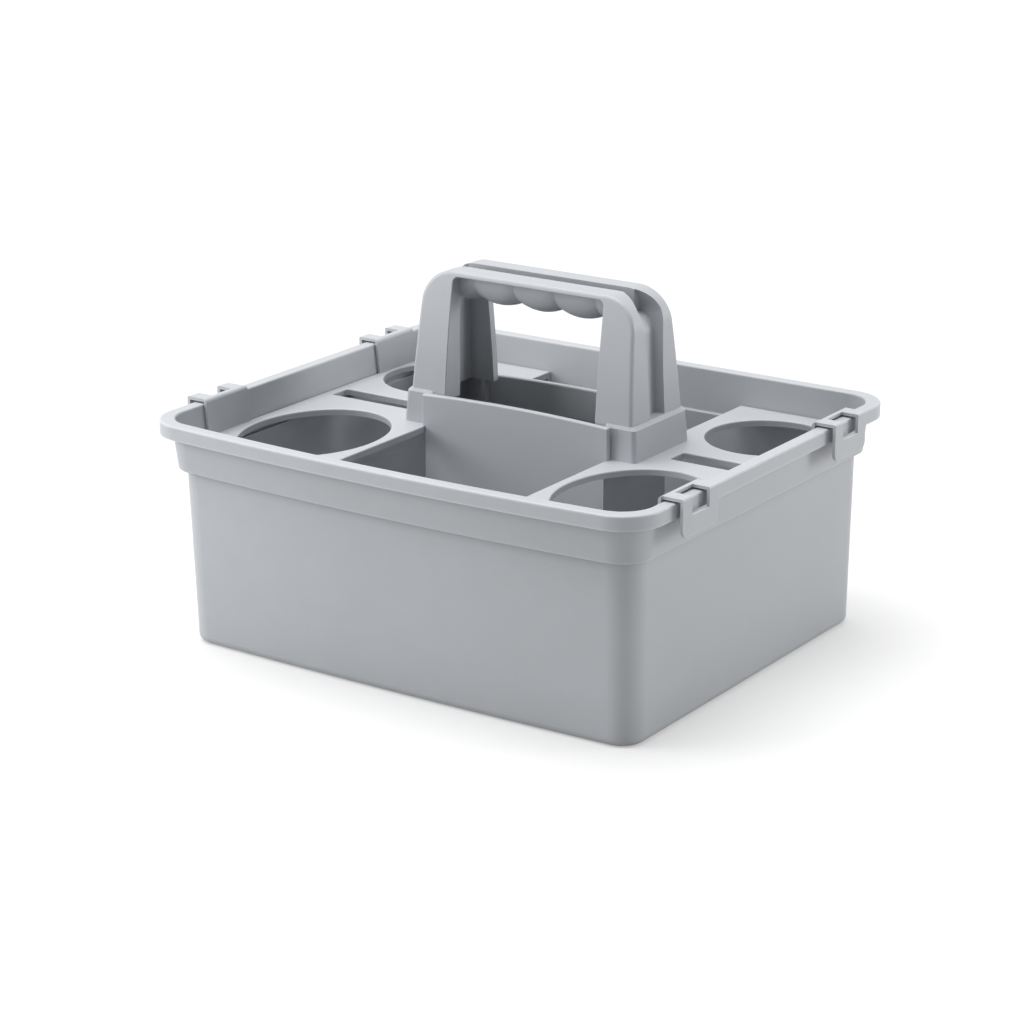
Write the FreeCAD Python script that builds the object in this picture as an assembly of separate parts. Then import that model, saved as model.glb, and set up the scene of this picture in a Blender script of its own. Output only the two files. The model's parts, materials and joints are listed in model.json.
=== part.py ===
import FreeCAD, Part
import math
import os

# A carry caddy: an open tub, two trays clipped over its rim, a centre bin and a carry handle.
# Millimetres, X along the long side, Y towards the back, Z up, origin under the middle of the rim outline.

Vector = FreeCAD.Vector
os.makedirs("parts", exist_ok=True)

# Tub
rim_length = 351.0
rim_width = 307.0
tub_height = 144.0
rim_corner = 26.0
corner_tighten = 0.7
rim_bow = 8.0
base_bow = 3.0
front_lean = 3.5
rim_face = 9.0
rim_plate = 2.5
rim_skirt = 2.2
wall = 2.3
ledge_wall = 4.4
floor = 2.6
band_inset = 6.0
band_draft = 2.8
band_height = 22.4
step_depth = 4.6
lower_draft = 1.4
base_edge = 5.0
rim_edge = 1.2
band_edge = 0.8

# Trays
tray_clearance = 0.5
deck_drop = 19.3
deck_plate = 2.4
deck_edge_depth = 4.0
deck_edge_wall = 2.0
deck_edge = 0.8
skirt_wall = 2.2

# Openings in the trays
round_radius = 38.5
round_side_margin = 4.0
round_back_margin = 15.1
slot_width = 15.8
slot_length = 62.5
slot_corner = 1.5
slot_side_margin = 6.5
back_web = 17.5
front_web = 19.5
oval_half_width = 42.5
oval_side_margin = 7.6
oval_front_margin = 23.1
inner_web = 6.0
back_opening_step = 6.5

# Rim clips
clip_margin = 65.9
clip_line = 3.2
clip_stagger = 4.6
clip_wall = 1.9
clip_plate_width = 40.0
clip_round = 2.4
clip_recess = 0.2
clip_top_gap = 1.1
clip_side_gap = 3.0
tab_width = 38.0
tab_hang = 11.0
tab_corner = 5.0
window_width = 19.0
window_reach = 9.5
window_sill = 0.6
bead_height = 4.0
bead_drop = 1.0
bead_gap = 0.4

# Centre bin
bin_wall = 2.4
bin_floor_gap = 9.0
bin_clearance = 0.6
bin_corner = 3.0
panel_wall = 3.8
front_panel_rise = 20.3
back_panel_rise = 18.2
panel_crown = 1.8
panel_shoulder = 2.0
panel_edge = 1.2
fit_gap = 0.3

# Handle
handle_setback = 1.6
foot_depth = 62.6
foot_height = 19.4
foot_inset = 4.4
foot_reach = 18.8
foot_draft = 1.2
foot_corner = 3.0
foot_wall = 2.6
foot_ledge = 2.5
shoulder_height = 2.0
shoulder_edge = 0.4
handle_rise = 96.7
handle_corner = 22.0
leg_width = 26.5
leg_slope = 0.063
leg_foot_depth = 58.6
leg_mid_depth = 51.0
leg_mid_rise = 55.3
grip_depth = 39.0
flange_edge = 2.4
rail_height = 3.4
opening_corner = 4.0
opening_edge = 0.6
groove_depth = 6.5
groove_foot_width = 17.0
groove_leg_width = 18.6
groove_leg_rise = 55.3
groove_wide_width = 22.8
groove_wide_rise = 80.3
groove_turn_width = 21.2
groove_turn_rise = 90.8
groove_grip_width = 10.2
groove_overrun = 5.4
web_wall = 3.0
web_corner = 12.0
recess_reach = 13.3
recess_wall = 5.4
lobe_pitch = 29.6
lobe_rise = 3.6
lobe_drop = 21.4
lobe_half_depth = 13.5
lobe_pairs = 2
pocket_wall = 2.6
tongue_wall = 2.6
tongue_width = 10.0
tongue_spacing = 28.0
tongue_reach = 10.5
tongue_hook = 1.6
tongue_hook_height = 3.0

# Heights that the pieces share
rim_bottom = tub_height - rim_face
step_z = rim_bottom - band_height
ledge_z = step_z + ledge_wall
deck_z = tub_height - deck_drop
plate_z = deck_z - deck_plate
saddle_z = tub_height + clip_top_gap
saddle_top = saddle_z + clip_wall
foot_top = deck_z + foot_height
shoulder_top = foot_top + shoulder_height
handle_top = deck_z + handle_rise

# Insets from the outer face of the rim
band_foot = band_inset + band_draft
lower_head = band_foot + step_depth
lower_foot = lower_head + lower_draft
inner_lean = band_draft / (tub_height - ledge_z)


def tray_inset(z):
    """Inset of a tray's edge, which follows the leaning inner face of the tub."""
    return band_inset + wall + inner_lean * (tub_height - z) + tray_clearance


# Plan places of the tray openings, worked inwards from the deck's edges
tray_x = rim_length / 2 - tray_inset(deck_z)
tray_back = rim_width / 2 - tray_inset(deck_z)
tray_front = rim_bow + tray_inset(deck_z) - rim_width / 2
round_x = tray_x - round_side_margin - round_radius
round_y = tray_back - round_back_margin - round_radius
carry_y = round_y - round_radius - back_web - slot_width / 2
slot_x = tray_x - slot_side_margin - slot_length / 2
oval_back = carry_y - slot_width / 2 - front_web
oval_half_length = (oval_back - tray_front - oval_front_margin) / 2
oval_x = tray_x - oval_side_margin - oval_half_width
oval_y = oval_back - oval_half_length
front_half = oval_x - oval_half_width - inner_web
back_half = front_half + back_opening_step
tab_x = rim_length / 2 + clip_side_gap
clip_reach = rim_width / 2 - clip_margin
right_clips = [clip_line - clip_stagger + side * clip_reach for side in (-1, 1)]
left_clips = [clip_line + clip_stagger + side * clip_reach for side in (-1, 1)]

# Plan places of the bin and the handle, worked outwards from the handle line
handle_y = carry_y + handle_setback
foot_front = handle_y - foot_depth / 2
foot_back = handle_y + foot_depth / 2
panel_front = foot_front - fit_gap - panel_wall
panel_back = foot_back + fit_gap + panel_wall
bin_half = front_half - bin_clearance
bin_bottom = floor + bin_floor_gap
foot_inner = front_half - foot_inset
foot_outer = front_half + foot_reach
leg_outer = foot_outer - foot_draft - foot_ledge
leg_inner = leg_outer - leg_width
web_outer = leg_outer - groove_depth
web_inner = web_outer - web_wall
tongue_x = front_half + tongue_reach
tongue_places = [handle_y + side * tongue_spacing / 2 for side in (-1, 1)]

# Cutting bodies run this far past what they cut
over = 1.0
everywhere = 2 * (rim_length + rim_width)


def box(x_span, y_span, z_span):
    size = [span[1] - span[0] for span in (x_span, y_span, z_span)]
    return Part.makeBox(*size, Vector(x_span[0], y_span[0], z_span[0]))


def about(middle, width):
    return (middle - width / 2, middle + width / 2)


def mirrored(shape):
    return shape.mirror(Vector(0, 0, 0), Vector(1, 0, 0))


def both_sides(shape):
    return shape.fuse(mirrored(shape))


def arc(start, middle, end):
    return Part.Arc(start, middle, end).toShape()


def line(start, end):
    return Part.makeLine(start, end)


def extruded(edges, path):
    return Part.Face(Part.Wire(edges)).extrude(path)


def rounded(shape, radius, wanted):
    """Fillet the edges that the test picks."""
    return shape.makeFillet(radius, [edge for edge in shape.Edges if wanted(edge.BoundBox)])


def level(height):
    """Test for edges that lie flat at a height."""
    return lambda span: abs(span.ZMin - height) < 0.01 and abs(span.ZMax - height) < 0.01


def outline(inset, z):
    """Plan outline of the tub: straight back and sides, a front that bows less towards the base."""
    bow = base_bow + (rim_bow - base_bow) * z / tub_height
    half = rim_length / 2 - inset
    back = rim_width / 2 - inset
    front = rim_bow + inset - rim_width / 2 + front_lean * (1 - z / tub_height)
    r = rim_corner - corner_tighten * inset
    bow_r = (half**2 + bow**2) / (2 * bow)
    bow_y = front - bow + bow_r
    corner_x = half - r
    corner_y = bow_y - math.sqrt((bow_r - r) ** 2 - corner_x**2)
    stretch = bow_r / (bow_r - r)
    touch_x = corner_x * stretch
    touch_y = bow_y + (corner_y - bow_y) * stretch
    turn = (math.atan2(corner_x, bow_y - corner_y) + math.pi / 2) / 2
    mid_x = corner_x + r * math.sin(turn)
    mid_y = corner_y - r * math.cos(turn)
    slant = r * math.sqrt(0.5)

    def at(x, y):
        return Vector(x, y, z)

    return Part.Wire([
        arc(at(-touch_x, touch_y), at(0, front - bow), at(touch_x, touch_y)),
        arc(at(touch_x, touch_y), at(mid_x, mid_y), at(half, corner_y)),
        line(at(half, corner_y), at(half, back - r)),
        arc(at(half, back - r), at(corner_x + slant, back - r + slant), at(corner_x, back)),
        line(at(corner_x, back), at(-corner_x, back)),
        arc(at(-corner_x, back), at(-corner_x - slant, back - r + slant), at(-half, back - r)),
        line(at(-half, back - r), at(-half, corner_y)),
        arc(at(-half, corner_y), at(-mid_x, mid_y), at(-touch_x, touch_y)),
    ])


def between(low_inset, low_z, high_inset, high_z):
    """Solid between two outlines of the tub."""
    return Part.makeLoft([outline(low_inset, low_z), outline(high_inset, high_z)], True, True)


def oval(x, y, half_x, half_y, z_span):
    middle = Vector(x, y, z_span[0])
    tip_x = middle + Vector(half_x, 0, 0)
    tip_y = middle + Vector(0, half_y, 0)
    tips = (tip_y, tip_x) if half_y > half_x else (tip_x, tip_y)
    return extruded([Part.Ellipse(*tips, middle).toShape()], Vector(0, 0, z_span[1] - z_span[0]))


def round_bar(x, y, radius, z_span):
    return Part.makeCylinder(radius, z_span[1] - z_span[0], Vector(x, y, z_span[0]))


def round_box(x_span, y_span, z_span, radius):
    """Box with its upright edges rounded."""
    return rounded(box(x_span, y_span, z_span), radius, lambda span: span.ZLength > span.DiagonalLength / 2
                   and span.XLength < 0.01 and span.YLength < 0.01)


# Tub: stepped wall, hollow turned-over rim
def make_tub():
    lower = between(lower_foot, 0, lower_head, step_z)
    lower = rounded(lower, base_edge, level(0))
    band = between(band_foot, step_z, band_inset, tub_height)
    band = rounded(band, band_edge, level(step_z))
    rim = between(0, rim_bottom, 0, tub_height)
    under_rim = between(rim_skirt, rim_bottom, rim_skirt, tub_height - rim_plate)
    rim = rim.cut(under_rim)
    room = between(band_foot + wall, ledge_z, band_inset + wall, tub_height)
    rim = rim.cut(room)
    body = lower.fuse([band, rim])
    well = between(lower_foot + wall, floor, lower_head + wall, ledge_z)
    well = rounded(well, base_edge - wall, level(floor))
    body = body.cut([well, room]).removeSplitter()
    return rounded(body, rim_edge, level(tub_height))


# Right tray: a deck on a skirt, holes with turned-down edges, two saddles over the rim
def saddle(middle):
    """Plate against the tub's inner face that turns over the rim."""
    def face(z):
        return rim_length / 2 - clip_recess - tray_inset(z)

    start = middle - clip_plate_width / 2
    corners = [Vector(x, start, z) for x, z in (
        (face(plate_z) - clip_wall, plate_z), (face(plate_z), plate_z), (face(saddle_z), saddle_z),
        (tab_x, saddle_z), (tab_x, saddle_top), (face(saddle_top) - clip_wall, saddle_top))]
    hook = Part.Face(Part.makePolygon(corners + corners[:1])).extrude(Vector(0, clip_plate_width, 0))
    hook = rounded(hook, clip_round, lambda span: level(saddle_top)(span) and span.XMax < face(saddle_top))
    plate = hook.common(between(tray_inset(plate_z) + clip_recess, plate_z,
                                tray_inset(saddle_top) + clip_recess, saddle_top))
    bridge = box((face(saddle_top) - clip_wall, tab_x), about(middle, tab_width), (saddle_z, saddle_top))
    window = box((tab_x - window_reach, tab_x), about(middle, window_width), (saddle_z, saddle_top))
    return plate.fuse(hook.common(bridge).cut(window))


def make_tray(clip_places):
    edge_span = (deck_z - deck_edge_depth, deck_z)
    through = (ledge_z - over, deck_z + over)
    blank = between(tray_inset(ledge_z), ledge_z, tray_inset(deck_z), deck_z)
    hollow = between(tray_inset(ledge_z) + skirt_wall, ledge_z, tray_inset(plate_z) + skirt_wall, plate_z)
    deck = blank.cut(hollow)
    front_keep = box((front_half, everywhere), (-everywhere, carry_y), through)
    back_keep = box((back_half, everywhere), (carry_y, everywhere), through)
    deck = deck.common(front_keep.fuse(back_keep))
    wide = deck_edge_wall
    lips = [
        box((front_half, front_half + wide), (-everywhere, carry_y), edge_span),
        box((back_half, back_half + wide), (carry_y, everywhere), edge_span),
        oval(oval_x, oval_y, oval_half_width + wide, oval_half_length + wide, edge_span),
        round_bar(round_x, round_y, round_radius + wide, edge_span),
        box(about(slot_x, slot_length + 2 * wide), about(carry_y, slot_width + 2 * wide), edge_span),
    ]
    deck = deck.fuse([lip.common(blank) for lip in lips])
    slot_spans = (about(slot_x, slot_length), about(carry_y, slot_width))
    deck = deck.cut([
        oval(oval_x, oval_y, oval_half_width, oval_half_length, through),
        round_bar(round_x, round_y, round_radius, through),
        round_box(*slot_spans, through, slot_corner),
    ])
    deck = rounded(deck.removeSplitter(), deck_edge, level(deck_z))
    for place in tongue_places:
        slit = box((tongue_x - fit_gap, tongue_x + tongue_wall + fit_gap),
                   about(place, tongue_width + 2 * fit_gap), through)
        deck = deck.cut(slit)
    return deck.fuse([saddle(place) for place in clip_places]).removeSplitter()


# Clip tab: outer plate of a saddle, with a bead that stands under the rim
def make_tab(middle):
    low = rim_bottom - tab_hang
    thick = (tab_x, tab_x + clip_wall)
    plate = box(thick, about(middle, tab_width), (low, saddle_top))
    plate = rounded(plate, tab_corner, lambda span: level(low)(span) and span.YLength < 0.01)
    plate = rounded(plate, clip_wall - deck_edge, lambda span: level(saddle_top)(span)
                    and span.XMin > tab_x + deck_edge)
    window = box((tab_x - over, tab_x + clip_wall + over), about(middle, window_width),
                 (rim_bottom + window_sill, saddle_top + over))
    bead_top = rim_bottom - bead_drop
    bead_tip = rim_length / 2 + bead_gap
    start = middle - window_width / 2
    corners = [
        Vector(tab_x, start, bead_top - bead_height),
        Vector(tab_x, start, bead_top),
        Vector(bead_tip, start, bead_top),
        Vector(bead_tip, start, bead_top - bead_height / 4),
    ]
    bead = Part.Face(Part.makePolygon(corners + corners[:1])).extrude(Vector(0, window_width, 0))
    return plate.cut(window).fuse(bead).removeSplitter()


# Centre bin: a box between the trays whose front and back panels stand above the deck
def make_panel(half, front, top):
    """Upright panel with a crowned top edge."""
    def at(x, z):
        return Vector(x, front, z)

    edges = [
        line(at(-half, deck_z), at(half, deck_z)),
        line(at(half, deck_z), at(half, top)),
        arc(at(half, top), at(0, top + panel_crown), at(-half, top)),
        line(at(-half, top), at(-half, deck_z)),
    ]
    panel = extruded(edges, Vector(0, panel_wall, 0))
    return rounded(panel, panel_edge, lambda span: span.ZMax > deck_z + over)


def make_bin():
    body = box((-bin_half, bin_half), (panel_front, panel_back), (bin_bottom, deck_z))
    body = rounded(body, bin_corner, level(bin_bottom))
    panels = [
        make_panel(front_half + panel_shoulder, panel_front, deck_z + front_panel_rise),
        make_panel(back_half + panel_shoulder, panel_back - panel_wall, deck_z + back_panel_rise),
    ]
    low_y = (panel_front + bin_wall, panel_back - bin_wall)
    high_y = (panel_front + panel_wall, panel_back - panel_wall)
    room = box((bin_wall - bin_half, bin_half - bin_wall), low_y, (bin_bottom + bin_wall, deck_z))
    room = rounded(room, bin_corner - bin_wall, level(bin_bottom + bin_wall))
    below_feet = box((-everywhere, everywhere), high_y, (deck_z - fit_gap, deck_z + over))
    return body.fuse(panels).cut([room, below_feet]).removeSplitter()


# Handle: two flanged legs and a finger grip between them, on foot collars that stand on the trays
def across(edges):
    """Solid from an outline in the XZ plane, carried through the whole depth."""
    deep = everywhere / 2
    return extruded(edges, Vector(0, 2 * deep, 0)).translated(Vector(0, handle_y - deep, 0))


def along(widths, heights):
    """Solid along the whole length from a bell outline in the YZ plane, its sides arcs through the widths."""
    last = len(widths) - 1

    def at(side, index):
        return Vector(-everywhere, handle_y + side * widths[index] / 2, heights[index])

    rear = [arc(at(1, index), at(1, index + 1), at(1, index + 2)) for index in range(0, last, 2)]
    front = [arc(at(-1, index), at(-1, index - 1), at(-1, index - 2)) for index in range(last, 0, -2)]
    edges = [line(at(-1, 0), at(1, 0)), *rear, line(at(1, last), at(-1, last)), *front]
    return extruded(edges, Vector(2 * everywhere, 0, 0))


def arch(low_half, slope, low_z, high_z, radius):
    """Arch outline in the XZ plane: leaning sides, flat top, round top corners that touch both."""
    tilt = math.atan(slope)
    corner_x = low_half - radius / math.cos(tilt) - (high_z - radius - low_z) * slope
    half_turn = (math.pi / 2 + tilt) / 2

    def at(x, z):
        return Vector(x, 0, z)

    def corner(side, angle):
        return at(side * (corner_x + radius * math.cos(angle)), high_z - radius + radius * math.sin(angle))

    return [
        line(at(-low_half, low_z), at(low_half, low_z)),
        line(at(low_half, low_z), corner(1, tilt)),
        arc(corner(1, tilt), corner(1, half_turn), at(corner_x, high_z)),
        line(at(corner_x, high_z), at(-corner_x, high_z)),
        arc(at(-corner_x, high_z), corner(-1, half_turn), corner(-1, tilt)),
        line(corner(-1, tilt), at(-low_half, low_z)),
    ]


def make_grip_lobe(x):
    """Swelling under the grip: a barrel with a round belly, turned about an axis across the handle."""
    radius = ((lobe_pitch / 2) ** 2 + lobe_rise**2) / (2 * lobe_rise)
    middle = Vector(x, handle_y, handle_top - lobe_drop + radius)
    side = Vector(0, lobe_half_depth, 0)
    drop = Vector(0, 0, lobe_half_depth - radius)
    belly = arc(middle - side + drop, middle - Vector(0, 0, radius), middle + side + drop)
    edges = [
        line(middle - side, middle - side + drop),
        belly,
        line(middle + side + drop, middle + side),
        line(middle + side, middle - side),
    ]
    return Part.Face(Part.Wire(edges)).revolve(middle, Vector(0, 1, 0), 360)


def one_sided(span):
    """Test for edges that stay on one face of the handle."""
    return span.YMin > handle_y or span.YMax < handle_y


def make_foot():
    """Hollow collar with a sloping shoulder, open towards the middle below the leg's recess."""
    def frame(outer, depth, inset, z):
        x_span = (foot_inner + inset, outer - inset)
        block = round_box(x_span, about(handle_y, depth - 2 * inset), (z, z + over), foot_corner)
        return [face for face in block.Faces if level(z)(face.BoundBox)][0].OuterWire

    low = (foot_outer, foot_depth)
    high = (foot_outer - foot_draft, foot_depth - 2 * foot_draft)
    room_top = foot_top - foot_wall
    collar = Part.makeLoft([frame(*low, 0, deck_z), frame(*high, 0, foot_top)], True, True)
    tip = frame(leg_outer + shoulder_edge, leg_foot_depth, 0, shoulder_top)
    shoulder = Part.makeLoft([frame(*high, 0, foot_top), tip], True, True)
    room = Part.makeLoft([frame(*low, foot_wall, deck_z), frame(*high, foot_wall, room_top)], True, True)
    door_y = (handle_y - recess_reach, handle_y + leg_foot_depth / 2 - recess_wall)
    door = box((foot_inner - over, web_inner), door_y, (deck_z - over, shoulder_top + over))
    return collar.fuse(shoulder).cut([room, door])


def make_tongue(place):
    y_span = about(place, tongue_width)
    hook_top = plate_z - fit_gap
    hook_z = (hook_top - tongue_hook_height, hook_top)
    stem = box((tongue_x, tongue_x + tongue_wall), y_span, (hook_z[0], foot_top - foot_wall))
    return stem.fuse(box((tongue_x, tongue_x + tongue_wall + tongue_hook), y_span, hook_z))


def make_pocket():
    """Hollow inside the front flange of a leg, open at the foot."""
    low_z = foot_top - foot_wall
    high_z = handle_top - handle_corner
    slope = (leg_foot_depth - grip_depth) / 2 / (handle_top - low_z)
    near = recess_reach + pocket_wall
    far = leg_foot_depth / 2 - pocket_wall

    def at(y, z):
        return Vector(leg_inner + pocket_wall, handle_y - y, z)

    corners = [at(near, low_z), at(far, low_z), at(far - slope * (high_z - low_z), high_z), at(near, high_z)]
    width = leg_width - leg_slope * (high_z - low_z) - 2 * pocket_wall
    return Part.Face(Part.makePolygon(corners + corners[:1])).extrude(Vector(width, 0, 0))


def make_handle():
    low_z = foot_top - foot_wall
    start_z = low_z - over
    rail_z = handle_top - rail_height
    valley_z = handle_top - lobe_drop + lobe_rise
    groove_z = valley_z + web_wall
    depths = (leg_foot_depth, leg_mid_depth, grip_depth)
    heights = (low_z, deck_z + leg_mid_rise, handle_top)
    body = across(arch(leg_outer, leg_slope, low_z, handle_top, handle_corner)).common(along(depths, heights))
    body = rounded(body, flange_edge, lambda span: one_sided(span) and not level(low_z)(span))
    body = body.cut(across(arch(leg_inner, 0, start_z, rail_z, opening_corner)))
    body = rounded(body, opening_edge, lambda span: one_sided(span) and span.ZMax < rail_z + 0.01
                   and max(-span.XMin, span.XMax) < leg_inner + 0.01 and not level(low_z)(span))
    lobes = [make_grip_lobe(index * lobe_pitch) for index in range(-lobe_pairs, lobe_pairs + 1)]
    below_rails = box(about(0, 2 * (leg_inner + over)), about(handle_y, grip_depth),
                      (handle_top - lobe_drop - over, rail_z + over))
    body = body.fuse([lobe.common(below_rails) for lobe in lobes])
    slot_x = leg_inner + groove_overrun
    slot = box(about(0, 2 * slot_x), about(handle_y, groove_grip_width), (groove_z, handle_top + over))
    widths = (groove_foot_width, groove_leg_width, groove_wide_width, groove_turn_width, groove_grip_width)
    rises = (groove_leg_rise, groove_wide_rise, groove_turn_rise)
    groove = along(widths, (foot_top, *[deck_z + rise for rise in rises], handle_top))
    groove = groove.cut(across(arch(web_outer, leg_slope, low_z, groove_z, web_corner)))
    recess = along([depth - 2 * recess_wall for depth in depths], heights)
    recess = recess.common(across(arch(web_inner, leg_slope, low_z, valley_z, web_corner - web_wall)))
    behind = (handle_y - recess_reach, everywhere)
    recess = recess.common(box((-everywhere, everywhere), behind, (low_z, rail_z)))
    outer_part, inner_part = [
        both_sides(box((start_x, everywhere), (-everywhere, everywhere), (low_z, handle_top + over)))
        for start_x in (slot_x, leg_inner)
    ]
    body = body.cut([slot, groove.common(outer_part), recess.common(inner_part)])
    base = make_foot().fuse([make_tongue(place) for place in tongue_places])
    return body.fuse(both_sides(base)).cut(both_sides(make_pocket())).removeSplitter()


nodes = {
    "tub": make_tub(),
    "right_tray": make_tray(right_clips),
    "left_tray": mirrored(make_tray(left_clips)),
    "centre_bin": make_bin(),
    "handle": make_handle(),
    "clip_tab_front_right": make_tab(right_clips[0]),
    "clip_tab_rear_right": make_tab(right_clips[1]),
    "clip_tab_front_left": mirrored(make_tab(left_clips[0])),
    "clip_tab_rear_left": mirrored(make_tab(left_clips[1])),
}
for name, shape in nodes.items():
    print(name, shape.ShapeType, shape.isValid(), len(shape.Solids), round(shape.Volume), shape.BoundBox)
    shape.exportStep("parts/" + name + ".step")
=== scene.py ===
# %% [markdown]
# A carry caddy in light grey polypropylene
#
# The object is a set of injection mouldings: an open tub, two trays that lie in it and clip over its rim,
# a bin between the trays, and a carry handle with a finger grip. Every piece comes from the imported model,
# in metres, with X along the long side, Y towards the back and Z up. This lesson sets it up as a studio
# picture: first the frame, then the camera, the floor and the light, and last the plastic.

# %% Load the frame
import bpy
import json
import math
import mathutils
import numpy as np
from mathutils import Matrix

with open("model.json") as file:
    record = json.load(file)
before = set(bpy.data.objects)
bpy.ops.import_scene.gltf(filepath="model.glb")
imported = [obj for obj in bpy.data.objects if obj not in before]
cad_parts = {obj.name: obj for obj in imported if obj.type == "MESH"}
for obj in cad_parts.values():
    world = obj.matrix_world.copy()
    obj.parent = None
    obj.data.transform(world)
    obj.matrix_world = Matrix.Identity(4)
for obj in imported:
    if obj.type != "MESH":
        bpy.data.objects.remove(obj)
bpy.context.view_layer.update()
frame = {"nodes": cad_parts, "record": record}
nodes = frame["nodes"]
print("pieces:", ", ".join(sorted(nodes)))

# %% [markdown]
# The camera
#
# A product picture like this one is taken from a step back with a long lens, so that the long edges of
# the tub run almost parallel. The camera could be turned by angles or by a Track To constraint. Here its
# three axes are written out as vectors instead: the right-hand axis lies level, which keeps the picture
# free of roll, and the backward axis follows from the compass angle and the height above the horizon.

# %% Place the camera
camera_place = np.array([0.96748, -1.43303, 0.63884])
camera_azimuth = math.radians(34.2)
camera_elevation = math.radians(17.96)
film_width, focal_length = 36.0, 103.85  # mm
far_clip = 60.0  # m, well past the edge of the floor

right = np.array([math.cos(camera_azimuth), math.sin(camera_azimuth), 0.0])
back = np.array([math.sin(camera_azimuth) * math.cos(camera_elevation),
                 -math.cos(camera_azimuth) * math.cos(camera_elevation),
                 math.sin(camera_elevation)])
up = np.cross(back, right)
pose = np.eye(4)
pose[:3, :4] = np.column_stack([right, up, back, camera_place])

lens = bpy.data.cameras.new("studio_camera")
lens.sensor_width = film_width
lens.lens = focal_length
lens.clip_end = far_clip
camera = bpy.data.objects.new("studio_camera", lens)
camera.matrix_world = mathutils.Matrix(pose.tolist())
bpy.context.scene.collection.objects.link(camera)
bpy.context.scene.camera = camera
print("camera stands", round(float(np.linalg.norm(camera_place)), 2), "m from the origin")

# %% [markdown]
# The floor
#
# The caddy stands on a pale sweep with no visible end. A plane would do, but a disc worked out on a grid
# of radius and angle has no corner that could come into a low view. Its rings lie closer together towards
# the middle, where the object stands.


# %% Make the floor
def grid_mesh(name, points):
    """Mesh from a grid of points (rows, columns, 3): each cell of the grid becomes one four-sided face."""
    rows, columns = points.shape[:2]
    index = np.arange(rows * columns).reshape(rows, columns)
    faces = np.stack([index[:-1, :-1], index[1:, :-1], index[1:, 1:], index[:-1, 1:]], axis=-1)
    mesh = bpy.data.meshes.new(name)
    mesh.from_pydata(points.reshape(-1, 3).tolist(), [], faces.reshape(-1, 4).tolist())
    mesh.update()
    return mesh


def floor_disc(radius, rings, spokes):
    """Level disc: x = r cos a, y = r sin a, z = 0, with r growing as the square of its ring number."""
    r = radius * np.linspace(0.001, 1.0, rings)[:, None] ** 2
    a = np.linspace(0.0, 2.0 * np.pi, spokes)[None, :]
    return np.stack([r * np.cos(a), r * np.sin(a), np.zeros_like(r * a)], axis=-1)


floor_points = floor_disc(radius=14.0, rings=16, spokes=65)
floor = bpy.data.objects.new("studio_floor", grid_mesh("studio_floor", floor_points))
bpy.context.scene.collection.objects.link(floor)
print("floor faces:", len(floor.data.polygons))

# %% [markdown]
# White paper with a soft shadow
#
# The picture shows the floor as pure white, with only a faint shadow beside the tub. Turning the lamps up
# until the paper clips would also wash out the plastic. So the white comes from the floor's own material:
# rays that come from the camera, or by way of a reflection, see a little added glow, and all other light
# meets plain paper. The shadow stays, because the glow is the same everywhere and the light on top of it
# isn't.


# %% Give the floor its white
def add_node(tree, kind, place, **values):
    """Shader node of a kind at a place in the editor, with settings or input values by name."""
    node = tree.nodes.new(kind)
    node.location = place
    for key, value in values.items():
        name = key.replace("_", " ")
        if name in node.inputs:
            node.inputs[name].default_value = value
        else:
            setattr(node, key, value)
    return node


def seen_directly(tree, place):
    """1 for rays from the camera, a reflection or a clear piece, 0 for all other light."""
    path = add_node(tree, "ShaderNodeLightPath", place)
    first = add_node(tree, "ShaderNodeMath", (place[0] + 200, place[1]), operation="MAXIMUM")
    both = add_node(tree, "ShaderNodeMath", (place[0] + 400, place[1]), operation="MAXIMUM")
    tree.links.new(path.outputs["Is Camera Ray"], first.inputs[0])
    tree.links.new(path.outputs["Is Glossy Ray"], first.inputs[1])
    tree.links.new(first.outputs[0], both.inputs[0])
    tree.links.new(path.outputs["Is Transmission Ray"], both.inputs[1])
    return both.outputs[0]


paper_grey, paper_glow = 0.5, 0.38
sweep = bpy.data.materials.new("studio_white")
sweep.use_nodes = True
tree = sweep.node_tree
tree.nodes.clear()
paper = add_node(tree, "ShaderNodeBsdfDiffuse", (0, 0), Color=(paper_grey, paper_grey, paper_grey, 1.0))
glow = add_node(tree, "ShaderNodeEmission", (0, -200), Color=(1.0, 1.0, 1.0, 1.0))
scaled = add_node(tree, "ShaderNodeMath", (-200, -200), operation="MULTIPLY")
scaled.inputs[1].default_value = paper_glow
total = add_node(tree, "ShaderNodeAddShader", (200, 0))
surface = add_node(tree, "ShaderNodeOutputMaterial", (400, 0))
tree.links.new(seen_directly(tree, (-800, -200)), scaled.inputs[0])
tree.links.new(scaled.outputs[0], glow.inputs["Strength"])
tree.links.new(paper.outputs[0], total.inputs[0])
tree.links.new(glow.outputs[0], total.inputs[1])
tree.links.new(total.outputs[0], surface.inputs["Surface"])
floor.data.materials.append(sweep)
print("floor material:", sweep.name, "with", len(tree.nodes), "nodes")

# %% [markdown]
# The light tent
#
# Small products are often photographed in a tent of white cloth, which lights them evenly from all round.
# The world stands in for the cloth. It could be a picture of a studio, but an even grey does the same
# without a file. It gives a weak fill to the plastic, and shows white where it is seen directly, like the
# floor.

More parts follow.
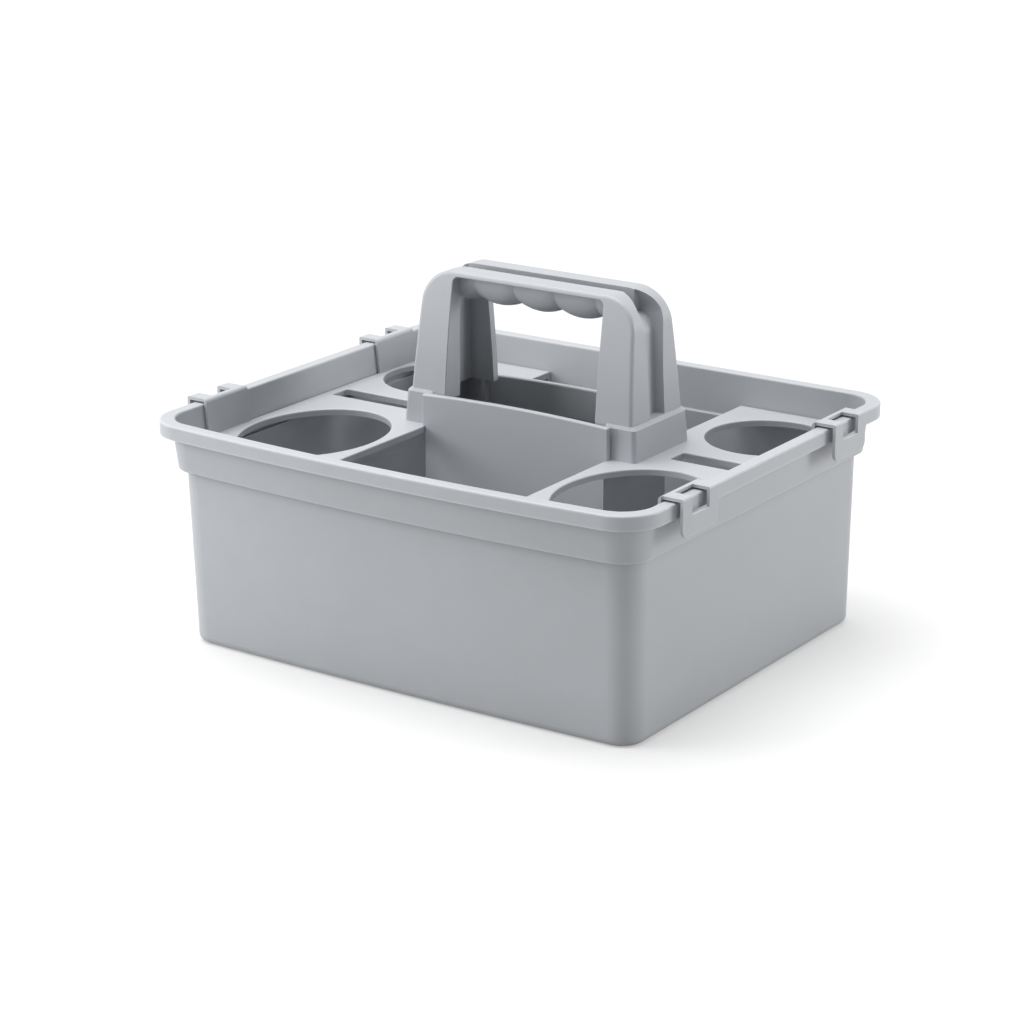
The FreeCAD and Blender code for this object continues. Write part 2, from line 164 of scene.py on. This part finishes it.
# %% Hang the tent
world = bpy.data.worlds.new("light_tent")
bpy.context.scene.world = world
world.use_nodes = True
tree = world.node_tree
tree.nodes.clear()
fill = add_node(tree, "ShaderNodeBackground", (0, 0), Color=(0.98, 0.99, 1.0, 1.0), Strength=0.22)
white = add_node(tree, "ShaderNodeBackground", (0, -150), Color=(1.0, 1.0, 1.0, 1.0), Strength=1.0)
choice = add_node(tree, "ShaderNodeMixShader", (250, 0))
surface = add_node(tree, "ShaderNodeOutputWorld", (450, 0))
tree.links.new(seen_directly(tree, (-600, 150)), choice.inputs[0])
tree.links.new(fill.outputs[0], choice.inputs[1])
tree.links.new(white.outputs[0], choice.inputs[2])
tree.links.new(choice.outputs[0], surface.inputs["Surface"])
print("world:", world.name, "with", len(tree.nodes), "nodes")

# %% [markdown]
# The lamps
#
# The decks and the rim are the brightest faces, the walls are a little darker, and no shadow has a hard
# edge. A sun with a very wide disc does the work from above, because it lights the floor evenly as far as
# the eye goes. The two lower lamps are square softboxes that stand close by. Their light falls off with
# distance, so a wall fades gently along its length, which suns alone can't do. They stay out of the
# picture themselves.


# %% Set up the lamps
def add_sun(name, azimuth, elevation, strength, disc):
    """Soft sun: it shines from a compass angle (0 is the front) and a height; all angles are in degrees."""
    lamp = bpy.data.lights.new(name, "SUN")
    lamp.energy = strength
    lamp.angle = math.radians(disc)
    sun = bpy.data.objects.new(name, lamp)
    sun.rotation_euler = (math.radians(90.0 - elevation), 0.0, math.radians(azimuth))
    bpy.context.scene.collection.objects.link(sun)
    return sun


def add_softbox(name, place, target, size, power):
    """Square area lamp at a place, in metres, turned towards a target and hidden from the camera."""
    lamp = bpy.data.lights.new(name, "AREA")
    lamp.energy = power
    lamp.size = size
    box = bpy.data.objects.new(name, lamp)
    box.location = place
    towards = mathutils.Vector(target) - mathutils.Vector(place)
    box.rotation_euler = towards.to_track_quat("-Z", "Y").to_euler()
    box.visible_camera = False
    bpy.context.scene.collection.objects.link(box)
    return box


middle = (0.0, 0.0, 0.1)
lamps = [
    add_sun("overhead", azimuth=-80.0, elevation=80.0, strength=3.4, disc=55.0),
    add_softbox("key_left", (-0.95, -0.75, 0.5), middle, size=0.7, power=8.7),
    add_softbox("rear_right", (1.3, 0.95, 0.40), middle, size=0.6, power=10.0),
]
print("lamps:", [(lamp.name, round(lamp.data.energy, 2)) for lamp in lamps])

# %% [markdown]
# Flow clouds
#
# Moulded polypropylene is never one flat grey: the melt leaves faint clouds where it flowed. They could
# be painted, but then every piece would need its own picture. Two noises of different size do it for all
# pieces at once. Every plastic needs the effect, so it is built once as a node group with named sockets
# and placed in each material with its own values.


# %% Node group for the clouds
def new_group(name, inputs, outputs):
    """Empty node group with named sockets: (name, kind, default) for inputs, (name, kind) for outputs."""
    group = bpy.data.node_groups.new(name, "ShaderNodeTree")
    for socket_name, kind, default in inputs:
        socket = group.interface.new_socket(socket_name, in_out="INPUT", socket_type=kind)
        socket.default_value = default
    for socket_name, kind in outputs:
        group.interface.new_socket(socket_name, in_out="OUTPUT", socket_type=kind)
    start = add_node(group, "NodeGroupInput", (-900, 0))
    end = add_node(group, "NodeGroupOutput", (700, 0))
    return group, start, end


def cloud_group():
    """Flow clouds: a slow and a quicker noise, added, change the colour by a share of itself."""
    group, start, end = new_group(
        "flow_clouds",
        [("Color", "NodeSocketColor", (0.5, 0.5, 0.5, 1.0)), ("Amount", "NodeSocketFloat", 0.05)],
        [("Color", "NodeSocketColor"), ("Cloud", "NodeSocketFloat")])
    where = add_node(group, "ShaderNodeTexCoord", (-900, -250))
    slow = add_node(group, "ShaderNodeTexNoise", (-650, -150), Scale=9.0, Detail=3.0, Roughness=0.5)
    quick = add_node(group, "ShaderNodeTexNoise", (-650, -400), Scale=55.0, Detail=4.0, Roughness=0.6)
    both = add_node(group, "ShaderNodeMath", (-400, -250), operation="ADD")
    shift = add_node(group, "ShaderNodeMath", (-200, -250), operation="SUBTRACT")
    shift.inputs[1].default_value = 1.0
    share = add_node(group, "ShaderNodeMath", (0, -150), operation="MULTIPLY_ADD")
    share.inputs[2].default_value = 1.0
    tint = add_node(group, "ShaderNodeVectorMath", (250, 0), operation="SCALE")
    group.links.new(where.outputs["Object"], slow.inputs["Vector"])
    group.links.new(where.outputs["Object"], quick.inputs["Vector"])
    group.links.new(slow.outputs["Fac"], both.inputs[0])
    group.links.new(quick.outputs["Fac"], both.inputs[1])
    group.links.new(both.outputs[0], shift.inputs[0])
    group.links.new(shift.outputs[0], share.inputs[0])
    group.links.new(start.outputs["Amount"], share.inputs[1])
    group.links.new(start.outputs["Color"], tint.inputs[0])
    group.links.new(share.outputs[0], tint.inputs["Scale"])
    group.links.new(tint.outputs[0], end.inputs["Color"])
    group.links.new(both.outputs[0], end.inputs["Cloud"])
    return group


clouds = cloud_group()
print(clouds.name, "has", len(clouds.nodes), "nodes")

# %% [markdown]
# Mould grain
#
# The steel of the mould is etched, which leaves a fine even grain on the plastic and takes its shine
# away. Real bumps of a tenth of a millimetre would need millions of faces. A height made of a noise and
# the cells of a Voronoi pattern tilts the normal instead, and the eye can't tell at this distance.


# %% Node group for the grain
def grain_group():
    """Mould grain: fine noise and the cells of a Voronoi pattern, mixed into one height from 0 to 1."""
    group, start, end = new_group(
        "mould_grain",
        [("Size", "NodeSocketFloat", 900.0), ("Cells", "NodeSocketFloat", 0.4)],
        [("Height", "NodeSocketFloat")])
    where = add_node(group, "ShaderNodeTexCoord", (-900, -250))
    fine = add_node(group, "ShaderNodeTexNoise", (-600, 0), Detail=2.0, Roughness=0.55)
    cells = add_node(group, "ShaderNodeTexVoronoi", (-600, -300))
    blend = add_node(group, "ShaderNodeMix", (-300, 0), data_type="FLOAT")
    group.links.new(where.outputs["Object"], fine.inputs["Vector"])
    group.links.new(where.outputs["Object"], cells.inputs["Vector"])
    group.links.new(start.outputs["Size"], fine.inputs["Scale"])
    group.links.new(start.outputs["Size"], cells.inputs["Scale"])
    group.links.new(start.outputs["Cells"], blend.inputs["Factor"])
    group.links.new(fine.outputs["Fac"], blend.inputs["A"])
    group.links.new(cells.outputs["Distance"], blend.inputs["B"])
    group.links.new(blend.outputs["Result"], end.inputs["Height"])
    return group


grain = grain_group()
print(grain.name, "has", len(grain.nodes), "nodes")

# %% [markdown]
# Painted edge highlight
#
# The edges are painted a little paler as a highlight, and that painted highlight draws the thin light lines
# along the rim and the step. They could be picked by hand on the mesh. The Bevel node finds them by itself:
# close to an edge, the normal that it rounds off turns away from the true one, and the turn is the mask.


# %% Node group for the painted edge highlight
def painted_highlight_group():
    """Painted edge highlight: where a rounded normal turns away from the true one, broken up by a noise."""
    group, start, end = new_group(
        "painted_edge_highlight",
        [("Width", "NodeSocketFloat", 0.0012), ("Strength", "NodeSocketFloat", 1.0)],
        [("Edge", "NodeSocketFloat")])
    soft = add_node(group, "ShaderNodeBevel", (-650, 100), samples=6)
    true = add_node(group, "ShaderNodeNewGeometry", (-650, -100))
    turn = add_node(group, "ShaderNodeVectorMath", (-400, 0), operation="DOT_PRODUCT")
    spread = add_node(group, "ShaderNodeMapRange", (-200, 0), From_Min=0.995, From_Max=0.92)
    where = add_node(group, "ShaderNodeTexCoord", (-650, -350))
    patch = add_node(group, "ShaderNodeTexNoise", (-400, -300), Scale=70.0, Detail=3.0)
    broken = add_node(group, "ShaderNodeMath", (0, 0), operation="MULTIPLY")
    scaled = add_node(group, "ShaderNodeMath", (200, 0), operation="MULTIPLY", use_clamp=True)
    group.links.new(start.outputs["Width"], soft.inputs["Radius"])
    group.links.new(soft.outputs["Normal"], turn.inputs[0])
    group.links.new(true.outputs["Normal"], turn.inputs[1])
    group.links.new(turn.outputs["Value"], spread.inputs["Value"])
    group.links.new(where.outputs["Object"], patch.inputs["Vector"])
    group.links.new(spread.outputs["Result"], broken.inputs[0])
    group.links.new(patch.outputs["Fac"], broken.inputs[1])
    group.links.new(broken.outputs[0], scaled.inputs[0])
    group.links.new(start.outputs["Strength"], scaled.inputs[1])
    group.links.new(scaled.outputs[0], end.inputs["Edge"])
    return group


highlight_nodes = painted_highlight_group()
print(highlight_nodes.name, "has", len(highlight_nodes.nodes), "nodes")

# %% [markdown]
# Painted crease shade
#
# Inner corners get painted shade instead: they are multiplied a little darker, as if the walls near them
# kept light out. The Ambient Occlusion node measures how much of its outlook a point loses to the walls
# near it. It looks at the piece itself only, so the mask stays right when the insert is lifted out of the
# tub.


# %% Node group for the painted crease shade
def crease_shade_group():
    """Painted crease shade: the share of the outlook that near walls of the same piece hide, from 0 in the
    open to 1.
    """
    group, start, end = new_group(
        "painted_crease_shade",
        [("Reach", "NodeSocketFloat", 0.005), ("Strength", "NodeSocketFloat", 1.0)],
        [("Crease", "NodeSocketFloat")])
    outlook = add_node(group, "ShaderNodeAmbientOcclusion", (-600, 0), samples=8, only_local=True)
    hidden = add_node(group, "ShaderNodeMath", (-350, 0), operation="SUBTRACT")
    hidden.inputs[0].default_value = 1.0
    scaled = add_node(group, "ShaderNodeMath", (-100, 0), operation="MULTIPLY", use_clamp=True)
    group.links.new(start.outputs["Reach"], outlook.inputs["Distance"])
    group.links.new(outlook.outputs["AO"], hidden.inputs[1])
    group.links.new(hidden.outputs[0], scaled.inputs[0])
    group.links.new(start.outputs["Strength"], scaled.inputs[1])
    group.links.new(scaled.outputs[0], end.inputs["Crease"])
    return group


creases = crease_shade_group()
print(creases.name, "has", len(creases.nodes), "nodes")

# %% [markdown]
# The plastics
#
# The tub, the trays and the handle are moulded apart, and their greys differ by a hair: the handle is the
# darkest and the smoothest, the tub the palest and the most grained. One function mixes all three. The
# clouds give the colour and let the roughness drift with it, the edges are screened a little paler as a
# painted highlight, and the creases are multiplied a little darker as painted shade. A crease has an edge
# of its own, so its mask is taken off the edge's.

# %% Mix the plastics
# Pale colour that the edge mask screens on: a painted highlight.
highlight_tint = (0.16, 0.16, 0.16, 1.0)
# Grey that the crease mask multiplies in: painted shade.
shade_tint = (0.72, 0.72, 0.73, 1.0)
roughness_drift = 0.05


def moulded_plastic(name, color, roughness, grain_depth, highlight_strength, shade_strength):
    """Grey plastic: clouded colour, painted edge highlight, painted crease shade, drifting roughness, fine
    grain.
    """
    material = bpy.data.materials.new(name)
    material.use_nodes = True
    tree = material.node_tree
    tree.nodes.clear()
    cloud = add_node(tree, "ShaderNodeGroup", (-700, 200), node_tree=clouds,
                     Color=(*color, 1.0), Amount=0.07)
    edge = add_node(tree, "ShaderNodeGroup", (-700, -50), node_tree=highlight_nodes, Width=0.0020, Strength=highlight_strength)
    crease = add_node(tree, "ShaderNodeGroup", (-1000, -50), node_tree=creases, Reach=0.008, Strength=shade_strength)
    height = add_node(tree, "ShaderNodeGroup", (-700, -300), node_tree=grain, Size=900.0, Cells=0.4)
    # Painted highlight: the edge mask less the crease mask screens the edges paler.
    convex = add_node(tree, "ShaderNodeMath", (-500, 50), operation="SUBTRACT", use_clamp=True)
    paler = add_node(tree, "ShaderNodeMix", (-350, 200), data_type="RGBA", blend_type="SCREEN")
    paler.inputs["B"].default_value = highlight_tint
    # Painted shade: the crease mask multiplies the colour darker in creases and corners.
    shaded = add_node(tree, "ShaderNodeMix", (-180, 200), data_type="RGBA", blend_type="MULTIPLY")
    shaded.inputs["B"].default_value = shade_tint
    drift = add_node(tree, "ShaderNodeMapRange", (-350, -50), From_Min=0.6, From_Max=1.4,
                     To_Min=roughness - roughness_drift, To_Max=roughness + roughness_drift)
    bump = add_node(tree, "ShaderNodeBump", (-350, -300), Strength=0.35, Distance=grain_depth)
    plastic = add_node(tree, "ShaderNodeBsdfPrincipled", (0, 0), IOR=1.49)
    surface = add_node(tree, "ShaderNodeOutputMaterial", (300, 0))
    tree.links.new(cloud.outputs["Color"], paler.inputs["A"])
    tree.links.new(edge.outputs["Edge"], convex.inputs[0])
    tree.links.new(crease.outputs["Crease"], convex.inputs[1])
    tree.links.new(convex.outputs[0], paler.inputs["Factor"])
    tree.links.new(paler.outputs["Result"], shaded.inputs["A"])
    tree.links.new(crease.outputs["Crease"], shaded.inputs["Factor"])
    tree.links.new(shaded.outputs["Result"], plastic.inputs["Base Color"])
    tree.links.new(cloud.outputs["Cloud"], drift.inputs["Value"])
    tree.links.new(drift.outputs["Result"], plastic.inputs["Roughness"])
    tree.links.new(height.outputs["Height"], bump.inputs["Height"])
    tree.links.new(bump.outputs["Normal"], plastic.inputs["Normal"])
    tree.links.new(plastic.outputs[0], surface.inputs["Surface"])
    return material


plastics = {
    "tub_plastic": moulded_plastic("tub_plastic", (0.455, 0.472, 0.495), roughness=0.46,
                                   grain_depth=0.00008, highlight_strength=4.0, shade_strength=1.6),
    "tray_plastic": moulded_plastic("tray_plastic", (0.450, 0.467, 0.490), roughness=0.42,
                                    grain_depth=0.00006, highlight_strength=0.8, shade_strength=0.6),
    "handle_plastic": moulded_plastic("handle_plastic", (0.440, 0.455, 0.480), roughness=0.40,
                                      grain_depth=0.00006, highlight_strength=0.8, shade_strength=0.6),
}
for subpart in frame["record"]["subparts"]:
    piece = nodes[subpart["node"]]
    for place in piece.material_slots:
        place.material = plastics[subpart["material_slot"]]
    print(subpart["node"], "has", len(piece.data.polygons), "faces in", subpart["material_slot"])

# %% [markdown]
# The view transform
#
# The view transform is Standard, so that a colour on paper stays the colour on screen.

bpy.context.scene.view_settings.view_transform = "Standard"
